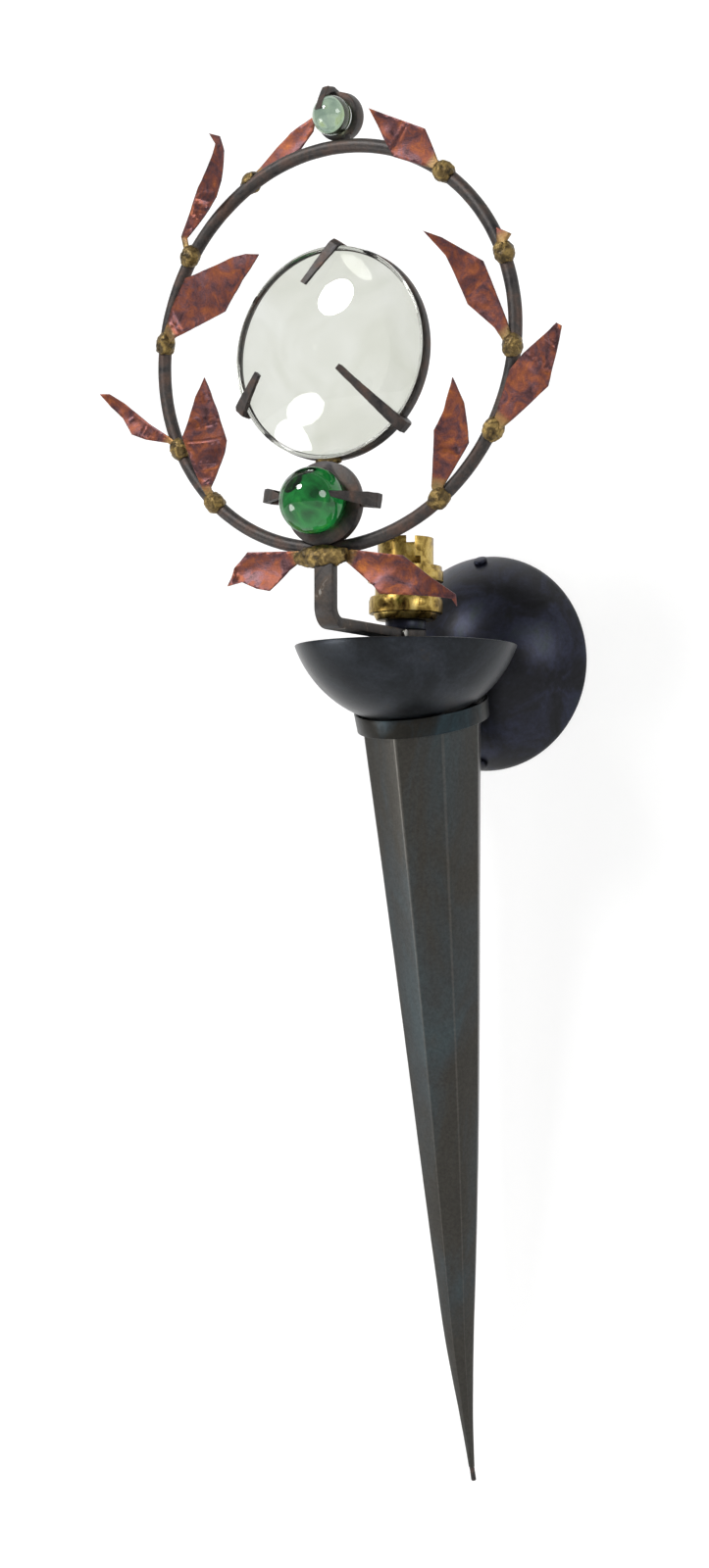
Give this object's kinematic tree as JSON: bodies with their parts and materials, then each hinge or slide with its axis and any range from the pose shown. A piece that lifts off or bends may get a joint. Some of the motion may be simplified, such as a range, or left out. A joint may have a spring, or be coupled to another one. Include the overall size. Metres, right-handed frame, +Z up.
{
  "type": "torch wall sconce",
  "caption": "Wall sconce shaped as a tapering iron torch with a bowl and bayonet lampholder, fronted by a wire ring of sheet leaves that carries clawed glass.",
  "frame": {"origin": "centre of the wall dome's rim, on the wall plane", "axes": "+Z up, the wall is the plane y = 0 with the room towards -Y, +X to the viewer's right"},
  "size_m": [0.2432, 0.1969, 0.6843],
  "materials": {
    "dark_iron": "blackened, soft sheen",
    "forged_iron": "forged, browned",
    "plated_steel": "plated",
    "terminal_plastic": "matt",
    "brass": "aged, satin",
    "contact_brass": "polished",
    "spring_steel": "bright",
    "insulator": "moulded, dark brown",
    "copper_leaf": "copper sheet, heat coloured",
    "braze": "bronze braze, rough",
    "clear_glass": "polished, clear",
    "green_glass": "polished, deep green",
    "pale_green_glass": "polished, pale green"
  },
  "bodies": {
    "sconce": {"arm_tube": "dark_iron", "bowl": "dark_iron", "bowl_seat": "plated_steel", "bridge_plate": "dark_iron", "clamp_ring": "brass", "collar_band": "dark_iron", "contact_insulator": "insulator", "contact_spring_left": "spring_steel", "contact_spring_right": "spring_steel", "dome_screws": "plated_steel", "lampholder_barrel": "brass", "lampholder_base": "brass", "lock_ring": "dark_iron", "mounting_strap": "plated_steel", "nipple_nut": "plated_steel", "spacer_tube": "dark_iron", "terminal_block": "terminal_plastic", "terminal_screws": "plated_steel", "threaded_nipple": "plated_steel", "tip_pin": "dark_iron", "torch_body": "dark_iron", "wall_dome": "dark_iron"},
    "wreath": {"bar_braze": "braze", "bezel_braze": "braze", "broken_leaf_stub": "copper_leaf", "earth_screw": "plated_steel", "green_band": "forged_iron", "green_claw_left": "forged_iron", "green_claw_right": "forged_iron", "green_marble": "green_glass", "leaf_bottom_left": "copper_leaf", "leaf_bottom_right": "copper_leaf", "leaf_braze": "braze", "leaf_inner_left_high": "copper_leaf", "leaf_inner_left_low": "copper_leaf", "leaf_inner_right_high": "copper_leaf", "leaf_inner_right_low": "copper_leaf", "leaf_outer_left_high": "copper_leaf", "leaf_outer_left_low": "copper_leaf", "leaf_outer_right": "copper_leaf", "leaf_top_left": "copper_leaf", "leaf_top_right": "copper_leaf", "lens": "clear_glass", "lens_bezel": "forged_iron", "lens_claw_left": "forged_iron", "lens_claw_right": "forged_iron", "lens_claw_top": "forged_iron", "top_band": "forged_iron", "top_claw": "forged_iron", "top_marble": "pale_green_glass", "top_post": "forged_iron", "wreath_bar": "forged_iron", "wreath_ring": "forged_iron"},
    "shade_ring": {"shade_ring": "brass"},
    "plunger_left": {"contact_plunger_left": "contact_brass"},
    "plunger_right": {"contact_plunger_right": "contact_brass"}
  },
  "joints": [
    {"name": "wreath_turn", "type": "hinge", "parent": "sconce", "child": "wreath", "pos_m": [0, -0.094, 0.0075], "axis": [0, 0, 1], "range_deg": [-30, 30]},
    {"name": "shade_ring_rise", "type": "slide", "parent": "sconce", "child": "shade_ring", "axis": [0, 0, 1], "range_m": [-0.003, 0.0135]},
    {"name": "contact_left_press", "type": "slide", "parent": "sconce", "child": "plunger_left", "axis": [0, 0, -1], "range_m": [0, 0.003], "stiffness_N_per_m": 1000, "springref_m": -0.001, "deforming": ["contact_spring_left"]},
    {"name": "contact_right_press", "type": "slide", "parent": "sconce", "child": "plunger_right", "axis": [0, 0, -1], "range_m": [0, 0.003], "stiffness_N_per_m": 1000, "springref_m": -0.001, "deforming": ["contact_spring_right"]}
  ]
}
